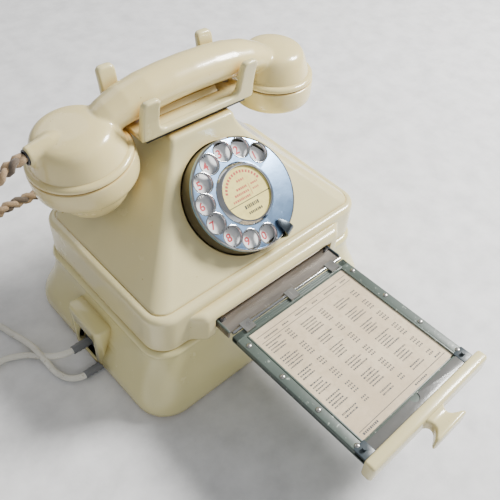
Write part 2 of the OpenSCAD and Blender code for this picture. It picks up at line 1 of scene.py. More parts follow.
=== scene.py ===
import bpy, bmesh, math, random, json
from mathutils import Vector, Matrix
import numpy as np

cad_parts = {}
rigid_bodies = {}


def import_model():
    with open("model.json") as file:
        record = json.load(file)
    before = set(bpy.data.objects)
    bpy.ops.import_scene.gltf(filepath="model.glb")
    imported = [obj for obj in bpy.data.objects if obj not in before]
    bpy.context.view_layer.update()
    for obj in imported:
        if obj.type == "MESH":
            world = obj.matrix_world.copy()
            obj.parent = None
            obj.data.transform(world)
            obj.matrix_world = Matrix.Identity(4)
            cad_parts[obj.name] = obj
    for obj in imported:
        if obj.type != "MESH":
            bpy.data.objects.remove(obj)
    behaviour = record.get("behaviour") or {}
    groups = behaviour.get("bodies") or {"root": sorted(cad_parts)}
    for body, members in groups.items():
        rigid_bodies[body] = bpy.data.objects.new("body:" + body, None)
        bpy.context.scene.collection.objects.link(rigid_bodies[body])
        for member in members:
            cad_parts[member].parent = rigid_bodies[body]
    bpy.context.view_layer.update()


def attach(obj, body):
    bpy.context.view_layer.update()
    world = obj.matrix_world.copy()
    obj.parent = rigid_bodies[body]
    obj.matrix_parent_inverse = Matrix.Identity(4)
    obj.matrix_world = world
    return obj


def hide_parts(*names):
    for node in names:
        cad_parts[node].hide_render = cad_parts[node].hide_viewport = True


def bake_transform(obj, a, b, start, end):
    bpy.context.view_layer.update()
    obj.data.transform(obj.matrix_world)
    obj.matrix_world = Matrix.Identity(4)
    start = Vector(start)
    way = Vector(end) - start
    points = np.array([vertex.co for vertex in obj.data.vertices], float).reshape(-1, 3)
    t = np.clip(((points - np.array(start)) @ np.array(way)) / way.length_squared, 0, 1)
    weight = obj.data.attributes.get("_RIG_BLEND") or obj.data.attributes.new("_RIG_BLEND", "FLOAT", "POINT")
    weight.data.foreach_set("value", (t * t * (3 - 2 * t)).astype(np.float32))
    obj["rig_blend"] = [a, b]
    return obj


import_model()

MM = 0.001
sin = lambda d: math.sin(math.radians(d))
cos = lambda d: math.cos(math.radians(d))
T = Matrix.Translation
RX = lambda a: Matrix.Rotation(math.radians(a), 4, 'X')
RY = lambda a: Matrix.Rotation(math.radians(a), 4, 'Y')
RZ = lambda a: Matrix.Rotation(math.radians(a), 4, 'Z')
HAND_Y = 27.6  # the handset, its cradle and its cord's exit lie along this y
CORD_Z = 167.0  # height of the handset cord's exit

# ------------------------------------------------------------------ camera
cam = bpy.data.cameras.new("camera")
cam.sensor_width = 36.0
cam.lens = 44.483
cam.shift_x, cam.shift_y = -0.0571, 0.0136
cam.clip_start, cam.clip_end = 0.01, 20
cam_o = bpy.data.objects.new("camera", cam)
RIGHT, UP, AHEAD = (0.71803, -0.69064, 0.08631), (0.46624, 0.56935, 0.67710), (0.51677, 0.44593, -0.73082)
EYE = (-0.21039, -0.25567, 0.39416)
m = Matrix([(RIGHT[i], UP[i], -AHEAD[i], EYE[i]) for i in range(3)] + [(0, 0, 0, 1)])
loc, rot = m.decompose()[:2]
cam_o.location, cam_o.rotation_mode, cam_o.rotation_quaternion = loc, 'QUATERNION', rot
bpy.context.scene.collection.objects.link(cam_o)
bpy.context.scene.camera = cam_o


# ------------------------------------------------------------------ mesh helpers (all sizes in mm)
def linked(name, me):
    """a new object of the mesh, put in the scene."""
    ob = bpy.data.objects.new(name, me)
    bpy.context.scene.collection.objects.link(ob)
    return ob


def face_out(me, weld=False):
    """turns the faces outwards; weld first joins points that lie together."""
    bm = bmesh.new(); bm.from_mesh(me)
    if weld:
        bmesh.ops.remove_doubles(bm, verts=bm.verts, dist=1e-6)
    bmesh.ops.recalc_face_normals(bm, faces=bm.faces)
    bm.to_mesh(me); bm.free()


def paint(ob, mat):
    ob.data.materials.clear(); ob.data.materials.append(mat)


def shade(ob, angle):
    """smooth shading with edges sharper than angle kept crisp; flat when angle is 0."""
    me = ob.data
    me.polygons.foreach_set("use_smooth", [angle > 0] * len(me.polygons))
    if angle > 0:
        me.set_sharp_from_angle(angle=math.radians(angle))
    me.update()


def obj_from(name, verts, faces, mat=None, smooth=35, xf=None):
    me = bpy.data.meshes.new(name)
    vs = [Vector(v) for v in verts]
    if xf:
        vs = [xf @ v for v in vs]
    me.from_pydata([v * MM for v in vs], [], faces)
    me.validate()
    ob = linked(name, me)
    face_out(me)
    shade(ob, smooth)
    if mat:
        me.materials.append(mat)
    return ob


def from_bm(name, bm, mat, smooth, xf):
    """an object of a bmesh drawn in mm, placed by xf."""
    me = bpy.data.meshes.new(name)
    for v in bm.verts:
        v.co = (xf @ v.co if xf else v.co) * MM
    bm.to_mesh(me); bm.free()
    ob = linked(name, me)
    shade(ob, smooth)
    if mat:
        me.materials.append(mat)
    return ob


def loft(name, rings, mat=None, smooth=35, xf=None):
    """a skin over rings of points, all with the same count, closed at both ends."""
    n, last = len(rings[0]), len(rings)
    verts = [p for r in rings for p in r]
    faces = []
    for k in range(last - 1):
        a, b = k * n, (k + 1) * n
        for i in range(n):
            j = (i + 1) % n
            faces.append((a + i, a + j, b + j, b + i))
    faces += [tuple(range(n - 1, -1, -1)), tuple(range((last - 1) * n, last * n))]
    return obj_from(name, verts, faces, mat, smooth, xf)


def circle(x, y, r, z, step):
    return [(x + r * cos(a), y + r * sin(a), z) for a in range(0, 360, step)]


def rod_z(x, y, r, z0, z1, step, xf=None):
    """a round bar along z, to cut with."""
    return loft("c", [circle(x, y, r, z, step) for z in (z0, z1)], xf=xf)


def lathe(name, profile, mat=None, n=96, smooth=35, xf=None, closed=True):
    """profile of (r, z) pairs, turned round z; closed joins its last point to its first."""
    rings = [[(r * cos(360 * i / n), r * sin(360 * i / n), z) for r, z in profile] for i in range(n)]
    verts = [p for r in rings for p in r]
    k = len(profile)
    faces = []
    for i in range(n):
        a, b = i * k, ((i + 1) % n) * k
        for j in range(k if closed else k - 1):
            q = (j + 1) % k
            faces.append((a + j, b + j, b + q, a + q))
    ob = obj_from(name, verts, faces, mat, 0, xf)
    face_out(ob.data, weld=True)
    shade(ob, smooth)
    return ob


def rrect(hx, hy, r, n=8, side=1):
    """rounded rectangle as (x, y) pairs, counter-clockwise; side is the number of steps on each straight."""
    pts = []
    cs = [(hx - r, hy - r, 0), (r - hx, hy - r, 90), (r - hx, r - hy, 180), (hx - r, r - hy, 270)]
    for q, (cx, cy, a) in enumerate(cs):
        arc = [(cx + r * cos(a + 90 * k / n), cy + r * sin(a + 90 * k / n)) for k in range(n + 1)]
        pts += arc
        nx, ny, na = cs[(q + 1) % 4]
        p, t = arc[-1], (nx + r * cos(na), ny + r * sin(na))
        pts += [(p[0] + (t[0] - p[0]) * k / side, p[1] + (t[1] - p[1]) * k / side) for k in range(1, side)]
    return pts


def rbox(name, lo, hi, r=1.0, mat=None, seg=3, smooth=35, xf=None):
    """a box with all its edges rounded."""
    bm = bmesh.new()
    vs = [bm.verts.new((x, y, z)) for z in (lo[2], hi[2]) for y in (lo[1], hi[1]) for x in (lo[0], hi[0])]
    for f in ((0, 2, 3, 1), (4, 5, 7, 6), (0, 1, 5, 4), (2, 6, 7, 3), (0, 4, 6, 2), (1, 3, 7, 5)):
        bm.faces.new([vs[i] for i in f])
    if r > 0:
        bmesh.ops.bevel(bm, geom=bm.edges[:], offset=r, segments=seg, affect='EDGES', profile=0.5)
    bmesh.ops.recalc_face_normals(bm, faces=bm.faces)
    return from_bm(name, bm, mat, smooth, xf)


def prism(name, outline, z0, z1, mat=None, bevel=0.0, smooth=35, xf=None, seg=2):
    """an outline of (x, y) pairs raised from z0 to z1, its top and bottom edges rounded by bevel."""
    bm = bmesh.new()
    lo = [bm.verts.new((x, y, z0)) for x, y in outline]
    hi = [bm.verts.new((x, y, z1)) for x, y in outline]
    n = len(outline)
    bot, top = bm.faces.new(lo[::-1]), bm.faces.new(hi)
    for i in range(n):
        bm.faces.new((lo[i], lo[(i + 1) % n], hi[(i + 1) % n], hi[i]))
    bmesh.ops.recalc_face_normals(bm, faces=bm.faces)
    if bevel > 0:
        es = list({e for f in (bot, top) for e in f.edges})
        bmesh.ops.bevel(bm, geom=es, offset=bevel, segments=seg, affect='EDGES', profile=0.5)
    return from_bm(name, bm, mat, smooth, xf)


def baked(ob):
    """applies the object's modifiers."""
    dg = bpy.context.evaluated_depsgraph_get()
    me = bpy.data.meshes.new_from_object(ob.evaluated_get(dg))
    old = ob.data
    ob.modifiers.clear()
    ob.data = me
    bpy.data.meshes.remove(old)
    return ob


def boolean(ob, cutters):
    """cuts the cutters out of the object and removes them."""
    for c in cutters:
        b = ob.modifiers.new("b", 'BOOLEAN')
        b.operation, b.object, b.solver = 'DIFFERENCE', c, 'EXACT'
    baked(ob)
    for c in cutters:
        bpy.data.objects.remove(c, do_unlink=True)
    return ob


def melt(ob, voxel, steps):
    """joins overlapping shells of a mesh into one skin with softened creases."""
    r = ob.modifiers.new("r", 'REMESH')
    r.mode, r.voxel_size, r.use_smooth_shade = 'VOXEL', voxel * MM, True
    s = ob.modifiers.new("s", 'SMOOTH')
    s.factor, s.iterations = 0.5, steps
    baked(ob)
    shade(ob, 180)


def join(name, obs):
    """one object out of several, in the looks of the first."""
    bm = bmesh.new()
    for o in obs:
        bm.from_mesh(o.data)
    me = bpy.data.meshes.new(name)
    bm.to_mesh(me); bm.free()
    ob = linked(name, me)
    for mt in obs[0].data.materials:
        me.materials.append(mt)
    for o in obs:
        bpy.data.objects.remove(o, do_unlink=True)
    return ob


def spline(pts, step):
    """points of a smooth curve through pts, about step apart."""
    P = [Vector(p) for p in pts]
    out = []
    for i in range(len(P) - 1):
        a, b, c, d = P[max(i - 1, 0)], P[i], P[i + 1], P[min(i + 2, len(P) - 1)]
        k = max(1, round((c - b).length / step))
        for q in range(k):
            t = q / k
            out.append(0.5 * (2 * b + (c - a) * t + (2 * a - 5 * b + 4 * c - d) * t * t
                              + (3 * b - a - 3 * c + d) * t ** 3))
    return out + [P[-1]]


def frames(path):
    """(point, side, up) along a path, turned as little as possible."""
    out, up = [], Vector((0, 0, 1))
    for i, p in enumerate(path):
        t = (path[min(i + 1, len(path) - 1)] - path[max(i - 1, 0)]).normalized()
        s = t.cross(up)
        s = s.normalized() if s.length > 0.05 else (out[-1][1] if out else Vector((0, 1, 0)))
        u = s.cross(t).normalized()
        up = u
        out.append((p, s, u))
    return out


def tube_mesh(name, path, radius, mat, sides=10, squash=1.0, smooth=60):
    """a tube along a path; radius gives the size at each distance run."""
    rings, run = [], 0.0
    for i, (p, s, u) in enumerate(frames(path)):
        if i:
            run += (path[i] - path[i - 1]).length
        r = radius(run)
        rings.append([p + r * (cos(a) * s + squash * sin(a) * u)
                      for a in (360 * k / sides for k in range(sides))])
    return loft(name, rings, mat, smooth)


# ------------------------------------------------------------------ materials
def mat_base(name, color, rough=0.5, metal=0.0, coat=0.0, spec=0.5, coat_rough=0.1):
    mt = bpy.data.materials.new(name)
    mt.use_nodes = True
    nt = mt.node_tree
    b = nt.nodes["Principled BSDF"]
    b.inputs["Base Color"].default_value = (*color, 1)
    b.inputs["Roughness"].default_value = rough
    b.inputs["Metallic"].default_value = metal
    b.inputs["Coat Weight"].default_value = coat
    b.inputs["Coat Roughness"].default_value = coat_rough
    b.inputs["Specular IOR Level"].default_value = spec
    tc = nt.nodes.new("ShaderNodeTexCoord")
    return mt, nt, b, tc.outputs["Object"]


def tex(nt, vec, scale, detail=3.0, rough=0.5, stretch=None):
    if stretch:
        mp = nt.nodes.new("ShaderNodeMapping")
        mp.inputs["Scale"].default_value = stretch
        nt.links.new(vec, mp.inputs["Vector"])
        vec = mp.outputs["Vector"]
    n = nt.nodes.new("ShaderNodeTexNoise")
    n.inputs["Scale"].default_value = scale
    n.inputs["Detail"].default_value = detail
    n.inputs["Roughness"].default_value = rough
    nt.links.new(vec, n.inputs["Vector"])
    return n.outputs["Fac"]


def ramp(nt, fac, stops):
    r = nt.nodes.new("ShaderNodeValToRGB")
    el = r.color_ramp.elements
    while len(el) < len(stops):
        el.new(0.5)
    for e, (p, c) in zip(el, stops):
        e.position = p
        e.color = (*c, 1) if len(c) == 3 else c
    nt.links.new(fac, r.inputs["Fac"])
    return r.outputs["Color"]


def mix(nt, fac, a, b, mode='MIX'):
    n = nt.nodes.new("ShaderNodeMix")
    n.data_type, n.blend_type = 'RGBA', mode
    for s, v in ((n.inputs["Factor"], fac), (n.inputs["A"], a), (n.inputs["B"], b)):
        if isinstance(v, (int, float)):
            s.default_value = v
        elif isinstance(v, tuple):
            s.default_value = (*v, 1)
        else:
            nt.links.new(v, s)
    return n.outputs["Result"]


def bump(nt, b, height, strength, dist=0.001, chain=None):
    n = nt.nodes.new("ShaderNodeBump")
    n.inputs["Strength"].default_value = strength
    n.inputs["Distance"].default_value = dist
    nt.links.new(height, n.inputs["Height"])
    if chain:
        nt.links.new(chain, n.inputs["Normal"])
    nt.links.new(n.outputs["Normal"], b.inputs["Normal"])
    return n.outputs["Normal"]


def rough_from(nt, b, fac, lo, hi):
    n = nt.nodes.new("ShaderNodeMapRange")
    n.inputs["To Min"].default_value, n.inputs["To Max"].default_value = lo, hi
    nt.links.new(fac, n.inputs["Value"])
    nt.links.new(n.outputs["Result"], b.inputs["Roughness"])


def shadevar(c, k):
    return tuple(min(1.0, x * k) for x in c)


def ivory(name, color, amber):
    mt, nt, b, v = mat_base(name, color, 0.2, coat=0.5, coat_rough=0.08)
    big = tex(nt, v, 22, 4, 0.55)
    col = ramp(nt, big, [(0.3, shadevar(color, 0.95)), (0.52, color), (0.75, shadevar(color, 1.04))])
    sp = ramp(nt, tex(nt, v, 420, 1, 0.4), [(0.165, (0.66, 0.56, 0.4)), (0.2, (1, 1, 1))])
    col = mix(nt, 1.0, col, sp, 'MULTIPLY')
    ao = nt.nodes.new("ShaderNodeAmbientOcclusion")
    ao.inputs["Distance"].default_value = 0.009
    ao.samples = 8
    crev = ramp(nt, ao.outputs["AO"], [(0.25, (1, 1, 1)), (0.8, (0, 0, 0))])
    col = mix(nt, crev, col, amber)
    nt.links.new(col, b.inputs["Base Color"])
    b.inputs["Subsurface Weight"].default_value = 0.08
    b.inputs["Subsurface Radius"].default_value = (0.004, 0.003, 0.0015)
    b.inputs["Subsurface Scale"].default_value = 1.0
    rough_from(nt, b, tex(nt, v, 60, 5, 0.6), 0.14, 0.34)
    n1 = bump(nt, b, tex(nt, v, 130, 3, 0.5), 0.12, 0.0006)
    bump(nt, b, tex(nt, v, 1600, 2, 0.5), 0.05, 0.0002, n1)
    return mt


IVORY = ivory("ivory_case", (0.70, 0.62, 0.33), (0.52, 0.35, 0.10))
IVORY_BELL = ivory("ivory_bell_box", (0.68, 0.61, 0.29), (0.50, 0.37, 0.11))
IVORY_HS = ivory("ivory_handset", (0.76, 0.64, 0.31), (0.60, 0.35, 0.08))


def metal(name, color, rough, lo, hi, brushed=None, scr=True):
    mt, nt, b, v = mat_base(name, color, rough, metal=1.0)
    f = tex(nt, v, 55, 4, 0.6, brushed)
    col = ramp(nt, f, [(0.3, shadevar(color, 0.8)), (0.6, color), (0.8, shadevar(color, 1.2))])
    if scr:
        s = tex(nt, v, 420, 2, 0.5, (1, 0.12, 1))
        sc = ramp(nt, s, [(0.0, (0, 0, 0)), (0.68, (0, 0, 0)), (0.72, (1, 1, 1))])
        col = mix(nt, sc, col, shadevar(color, 1.35))
    nt.links.new(col, b.inputs["Base Color"])
    rough_from(nt, b, tex(nt, v, 150, 4, 0.6, brushed), lo, hi)
    bump(nt, b, tex(nt, v, 700, 3, 0.5, brushed), 0.08, 0.0003)
    return mt


STEEL = metal("steel", (0.55, 0.55, 0.54), 0.35, 0.25, 0.45)
SCREW = metal("screw_steel", (0.5, 0.49, 0.46), 0.3, 0.2, 0.4)
SLIDER = metal("slider_steel", (0.33, 0.30, 0.27), 0.35, 0.28, 0.5, (0.15, 1, 1))
PLATE = metal("finger_plate_steel", (0.30, 0.47, 0.72), 0.35, 0.26, 0.40)
CHROME = metal("chrome", (0.55, 0.56, 0.57), 0.1, 0.06, 0.16, scr=False)
BRASS = metal("brass", (0.7, 0.52, 0.24), 0.3, 0.2, 0.45)
COPPER = metal("copper_wire", (0.55, 0.27, 0.12), 0.4, 0.3, 0.5, (1, 1, 12))
BRONZE = metal("bronze", (0.16, 0.14, 0.10), 0.3, 0.22, 0.42)
DARK_STOP = metal("stop_steel", (0.10, 0.12, 0.14), 0.25, 0.18, 0.35)


def coated(name, color, lo, hi, spots=None, fine=500, coat=0.0):
    mt, nt, b, v = mat_base(name, color, (lo + hi) / 2, coat=coat)
    col = ramp(nt, tex(nt, v, 40, 4, 0.6), [(0.3, shadevar(color, 0.85)), (0.55, color),
                                            (0.8, shadevar(color, 1.12))])
    if spots:
        s = ramp(nt, tex(nt, v, 350, 3, 0.55), [(0.0, (0, 0, 0)), (0.64, (0, 0, 0)), (0.69, (1, 1, 1))])
        col = mix(nt, s, col, spots)
    nt.links.new(col, b.inputs["Base Color"])
    rough_from(nt, b, tex(nt, v, 110, 4, 0.6), lo, hi)
    bump(nt, b, tex(nt, v, fine, 3, 0.5), 0.12, 0.0004)
    return mt


BLACK = coated("black_plastic", (0.02, 0.02, 0.022), 0.3, 0.5)
RUBBER = coated("black_rubber", (0.018, 0.018, 0.018), 0.6, 0.8)
ENAMEL = coated("enamel", (0.86, 0.86, 0.85), 0.08, 0.18, coat=0.6)
TRAY = coated("tray_paint", (0.085, 0.11, 0.095), 0.3, 0.5, (0.3, 0.34, 0.3))
SLATE = coated("slate_paint", (0.045, 0.06, 0.07), 0.25, 0.4)
GREYSTRIP = coated("window_edge", (0.12, 0.12, 0.115), 0.12, 0.3)
SLEEVE = coated("sleeve_grey", (0.17, 0.175, 0.185), 0.35, 0.5)
CORDWHITE = coated("cord_white", (0.80, 0.78, 0.70), 0.3, 0.5, (0.62, 0.58, 0.46), 700)
INK = coated("ink_black", (0.02, 0.02, 0.022), 0.5, 0.7)
RED = coated("ink_red", (0.55, 0.03, 0.04), 0.4, 0.6)
PRINT = coated("print_grey", (0.015, 0.012, 0.012), 0.6, 0.8)
PRINT_RED = coated("print_red", (0.55, 0.10, 0.07), 0.6, 0.8)


def paper(name, color, stain):
    mt, nt, b, v = mat_base(name, color, 0.65)
    col = ramp(nt, tex(nt, v, 30, 5, 0.6), [(0.3, stain), (0.55, color), (0.8, shadevar(color, 1.07))])
    col = mix(nt, ramp(nt, tex(nt, v, 260, 4, 0.6), [(0.45, (0, 0, 0)), (0.8, (1, 1, 1))]), col,
              shadevar(stain, 0.9))
    nt.links.new(col, b.inputs["Base Color"])
    rough_from(nt, b, tex(nt, v, 200, 4, 0.6), 0.5, 0.75)
    bump(nt, b, tex(nt, v, 1500, 4, 0.6), 0.2, 0.0002)
    return mt


CARD = paper("card_paper", (0.70, 0.56, 0.36), (0.58, 0.44, 0.26))
LABEL = paper("label_paper", (0.84, 0.72, 0.24), (0.76, 0.62, 0.18))


def fabric(name, color, dark):
    mt, nt, b, v = mat_base(name, color, 0.8)
    col = ramp(nt, tex(nt, v, 1400, 3, 0.6), [(0.3, dark), (0.55, color), (0.75, shadevar(color, 1.25))])
    col = mix(nt, ramp(nt, tex(nt, v, 50, 3, 0.5), [(0.35, (0, 0, 0)), (0.7, (1, 1, 1))]), col,
              shadevar(dark, 1.3))
    nt.links.new(col, b.inputs["Base Color"])
    b.inputs["Sheen Weight"].default_value = 0.3
    b.inputs["Sheen Roughness"].default_value = 0.5
    rough_from(nt, b, tex(nt, v, 900, 3, 0.6), 0.65, 0.9)
    bump(nt, b, tex(nt, v, 2200, 3, 0.6), 0.6, 0.0004)
    return mt


CLOTH = fabric("cord_fabric", (0.56, 0.40, 0.24), (0.26, 0.17, 0.09))


def glassy(name):
    mt, nt, b, v = mat_base(name, (0.95, 0.96, 0.95), 0.1, spec=0.4)
    rough_from(nt, b, tex(nt, v, 80, 4, 0.6), 0.05, 0.18)
    b.inputs["Alpha"].default_value = 0.05
    mt.surface_render_method = 'DITHERED'
    return mt


WINDOW = glassy("window")

NODE_MATS = {
    IVORY: ["upper_case", "cradle", "plunger", "drawer_front", "drawer_knob"], IVORY_BELL: ["bell_case"],
    IVORY_HS: ["handset_body", "ear_cap", "mouth_cap", "mouth_horn"],
    STEEL: ["bell_base", "ringer_frame", "gong_posts", "chassis", "drawer_guides", "plunger_rod",
            "finger_stop",
            "capacitor", "transmitter"],
    CHROME: ["hinge_rod", "label_ring"],
    SCREW: ["base_screws", "chassis_screws", "cradle_screws", "tray_screws", "hinge_clips"],
    SLIDER: ["drawer_slider"],
    BLACK: ["bell_terminals", "terminal_block", "cradle_plate", "receiver", "case_gland"], RUBBER: ["feet"],
    BRASS: ["gongs", "hammer", "dial_mechanism", "main_gear", "governor", "switch_springs"],
    COPPER: ["ringer_coils", "induction_coil"], BRONZE: ["dial_cup"], ENAMEL: ["number_plate"],
    PLATE: ["finger_plate"], LABEL: ["label_card"], CARD: ["number_card"], WINDOW: ["card_window"],
    TRAY: ["drawer_tray"], CLOTH: ["hand_cord_upper", "hand_cord_coil", "hand_cord_lower"],
    CORDWHITE: ["line_cord_slot", "line_cord_slot_coil", "line_cord_base", "line_cord_base_coil", "line_plug",
                "junction_plug"], SLEEVE: ["cord_sleeves"]}
for mt, names in NODE_MATS.items():  # a look for each of the frame's own solids
    for n in names:
        ob = bpy.data.objects.get(n)
        if ob is None:
            continue
        if not ob.material_slots:
            ob.data.materials.append(mt)
        for s in ob.material_slots:
            s.material = mt

FLOOR = coated("floor_pale", (0.74, 0.74, 0.75), 0.5, 0.7)
SEAM = coated("seam_dirt", (0.10, 0.06, 0.025), 0.6, 0.8)
# a darker copy of the cord fabric, painted shade: it darkens the handset cord's second strand along its whole
# length
CLOTH_PAINTED_SHADE = fabric("cord_fabric_dark", (0.20, 0.15, 0.10), (0.07, 0.05, 0.035))


# ------------------------------------------------------------------ cords
def coil_path(centre, mid, d, nr, nz, turns, a0, ccw=1):
    """a coil of nr turns side by side in nz layers: the lowest runs inwards, the next outwards, and so on."""
    seq, gap = [], 1.03
    for k in range(nz):
        row = range(nr) if k % 2 == 0 else range(nr - 1, -1, -1)
        seq += [(mid + (nr - 1) / 2 * d * gap - j * d * gap, d / 2 + 0.1 + k * d * gap) for j in row]
    pts, steps = [], 36
    for i in range(int(turns * steps) + 1):
        t = i / steps
        k = min(int(t), len(seq) - 1)
        f = t - k
        (r0, z0), (r1, z1) = seq[k], seq[min(k + 1, len(seq) - 1)]
        w = min(max((f - 0.7) / 0.3, 0), 1)
        w = w * w * (3 - 2 * w)
        r, z = r0 + (r1 - r0) * w, z0 + (z1 - z0) * w
        a = a0 + ccw * 360 * t
        pts.append((centre[0] + r * cos(a), centre[1] + r * sin(a), z))
    return pts


# handset cord: three plaited strands, the second one in a darker copy of the fabric as painted shade
UPPER = [(-108.4, HAND_Y, CORD_Z), (-113, HAND_Y, CORD_Z), (-124, 28, 161), (-136, 29, 152), (-149, 31, 136),
         (-159, 34, 114),
         (-167, 40, 88), (-173, 50, 60), (-179, 64, 34), (-185, 82, 14), (-190, 100, 5), (-191, 114, 4),
         (-188.5, 130, 3.9)]
LOWER = [(-209, 119.5, 12), (-195, 121, 12.4), (-182, 122, 12.6), (-171, 120, 14), (-161, 112, 20),
         (-150, 103, 42),
         (-134, 97, 66), (-112, 94, 79), (-88, 93, 81), (-68, 92, 81), (-57, 87, 81), (-52, 80, 81),
         (-52, 73.5, 81)]
HAND = spline(UPPER + coil_path((-225, 165), 40, 7.7, 2, 2, 3.83, -25, ccw=1)[1::3] + LOWER, 2.0)


def plaited(name, path, d):
    """three strands that cross over and under each other, as one mesh."""
    lay = 11.0  # half the length in which a strand comes round again
    fr = frames(path)
    run, dist = [0.0], 0.0
    for i in range(1, len(path)):
        dist += (path[i] - path[i - 1]).length
        run.append(dist)
    w, h, r = d * 0.26, d * 0.21, d * 0.285
    obs = []
    for k in range(3):
        line = []
        for (p, s, u), q in zip(fr, run):
            a = 2 * math.pi * (q / (2 * lay) + k / 3)
            line.append(p + s * (w * math.sin(a)) + u * (h * math.sin(2 * a)))
        # the second strand gets the darker copy of the fabric: painted shade
        obs.append(tube_mesh(f"{name}_{k}", line, lambda q: r * (1 + 0.06 * math.sin(q * 4.2)),
                             CLOTH if k != 1 else CLOTH_PAINTED_SHADE, squash=0.86))
    me = bpy.data.meshes.new(name)
    bm = bmesh.new()
    for k, o in enumerate(obs):
        first = len(bm.faces)
        bm.from_mesh(o.data)
        bm.faces.ensure_lookup_table()
        for f in bm.faces[first:]:
            f.material_index = 1 if k == 1 else 0
        bpy.data.objects.remove(o, do_unlink=True)
    bm.to_mesh(me); bm.free()
    me.materials.append(CLOTH); me.materials.append(CLOTH_PAINTED_SHADE)
    return linked(name, me)


hand = plaited("handset_cord", HAND, 7.6)
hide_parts("hand_cord_upper", "hand_cord_coil", "hand_cord_lower")

# line cords with their coils and plugs
SLOT_RUN = [(-112, 5, 13), (-118, 5, 13), (-123.5, 6.2, 12.3), (-130, 12, 8.6), (-136, 21, 4.6),
            (-142, 28.5, 2.9),
            (-149, 33.3, 2.5), (-160, 36.6, 2.5), (-180, 31, 2.5), (-199, 15, 2.5), (-209, 1, 2.5),
            (-213, -12, 2.5)]
SLOT = spline(SLOT_RUN + coil_path((-250, -24), 27, 4.66, 4, 4, 15.389, 0, ccw=-1)[1::3]
              + [(-281, -38.5, 15.5), (-288, -29, 12), (-293, -21, 7.5), (-296, -12, 4.6), (-296, -6, 4.5)],
              1.6)
BASE_RUN = [(-114, -12, 3.2), (-120, -12, 3.2), (-125, -11, 3), (-131, -6, 2.5), (-135, 4, 2.6),
            (-136, 14, 5.5),
            (-137, 27.5, 7.8), (-139, 41, 5.5), (-142, 54, 2.6), (-146, 66, 2.5), (-156, 72, 2.5),
            (-172, 70, 2.5),
            (-190, 66, 2.5), (-201, 68, 2.5), (-210, 75, 2.5)]
BASE = spline(BASE_RUN + coil_path((-245, 60), 27, 4.66, 4, 4, 15.264, 45, ccw=1)[1::3]
              + [(-276.5, 74.5, 15.5), (-283, 66, 12), (-288, 57, 7.5), (-291, 48, 4.6), (-291, 42, 4.5)],
              1.6)


def line_cord(name, run, nodes):
    ob = tube_mesh(name, run, lambda q: 2.3, CORDWHITE, sides=12, smooth=70)
    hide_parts(*nodes)
    return ob


cord_slot = line_cord("line_cord_one", SLOT, ["line_cord_slot", "line_cord_slot_coil"])
cord_base = line_cord("line_cord_two", BASE, ["line_cord_base", "line_cord_base_coil"])


def plug(name, x, y0, sgn, node, pins):
    """a moulded plug lying along y: tapered ribbed sleeve, body, and pins or spade ends."""
    axis_z = 4.5
    place = T((x, y0, axis_z)) @ Matrix.Scale(sgn, 4, Vector((0, 1, 0)))

    def at(px, py, pz):
        return (x + px, y0 + sgn * py, axis_z + pz)
    prof = [(-9, 2.5), (-8, 2.9)] + [(-7 + 1.5 * k, 3.0 + 0.12 * k + (0.35 if k % 2 else 0))
                                     for k in range(5)]
    rings = [[at(r * cos(a), y, r * sin(a)) for a in range(0, 360, 20)] for y, r in prof]
    relief = loft(name + "_relief", rings, CORDWHITE if pins else SLEEVE, 50)
    body = rbox(name, (-5.6, -0.6, -4.3), (5.6, 17, 4.3), 1.6, CORDWHITE, xf=place)
    parts = [relief]
    for k, end in ((-1, "a"), (1, "b")):
        if pins:
            parts.append(loft(f"{name}_pin_{end}",
                              [[at(k * 3 + r * cos(a), y, r * sin(a)) for a in range(0, 360, 24)]
                               for y, r in ((16, 1.2), (26.5, 1.2), (27.4, 0.8))], CHROME, 40))
        else:
            parts.append(rbox(f"{name}_pin_{end}", (k * 3 - 1.8, 16, -0.5), (k * 3 + 1.8, 27.4, 0.5),
                              0.3, BRASS, xf=place))
    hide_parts(node)
    return [body] + parts


plug_one = plug("plug_one", -296, -12, 1, "line_plug", True)
plug_two = plug("plug_two", -291, 48, -1, "junction_plug", False)

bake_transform(hand, "handset", "base", (-0.12, 0.028, 0.167), (-0.12, 0.072, 0.087))

# ------------------------------------------------------------------ shared places
DIAL = T((0, -39.4, 128.3)) @ RX(42.5)
DRAWER = T((0, -67.5, 71)) @ RX(-1.2)
MOUTH = T((-72.8, HAND_Y, 136)) @ RY(-9)
EAR = T((84.2, HAND_Y, 136))
MOUTH_R, EAR_R = 33.5, 30.25  # radii of the handset's two caps
HOLES, HOLE_RUN, HOLE_FIRST, HOLE_STEP = 10, 30.2, 40.3, 25.8  # finger holes: count, radius and angles
STOP_ANGLE = 295
LABEL_Z, FIGURE_Z = 1.05, -4.95  # heights of the print on the label and on the number plate
SWAP_YZ = Matrix(((1, 0, 0, 0), (0, 0, 1, 0), (0, 1, 0, 0), (0, 0, 0, 1)))
XY_TO_YZ = Matrix(((0, 0, 1, 0), (1, 0, 0, 0), (0, 1, 0, 0), (0, 0, 0, 1)))


def piece(ob, body="base", nodes=()):
    if nodes:
        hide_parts(*nodes)
    if body != "base":
        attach(ob, body)
    return ob


# ------------------------------------------------------------------ bell box
def bell_ring(g, e, z):
    """outline of the bell box at height z, flared by e and drawn in by g."""
    return [(x, y, z) for x, y in rrect(95.5 + e - g, 69 + e - g, max(18 + e / 2 - g, 2), 12, 4)]


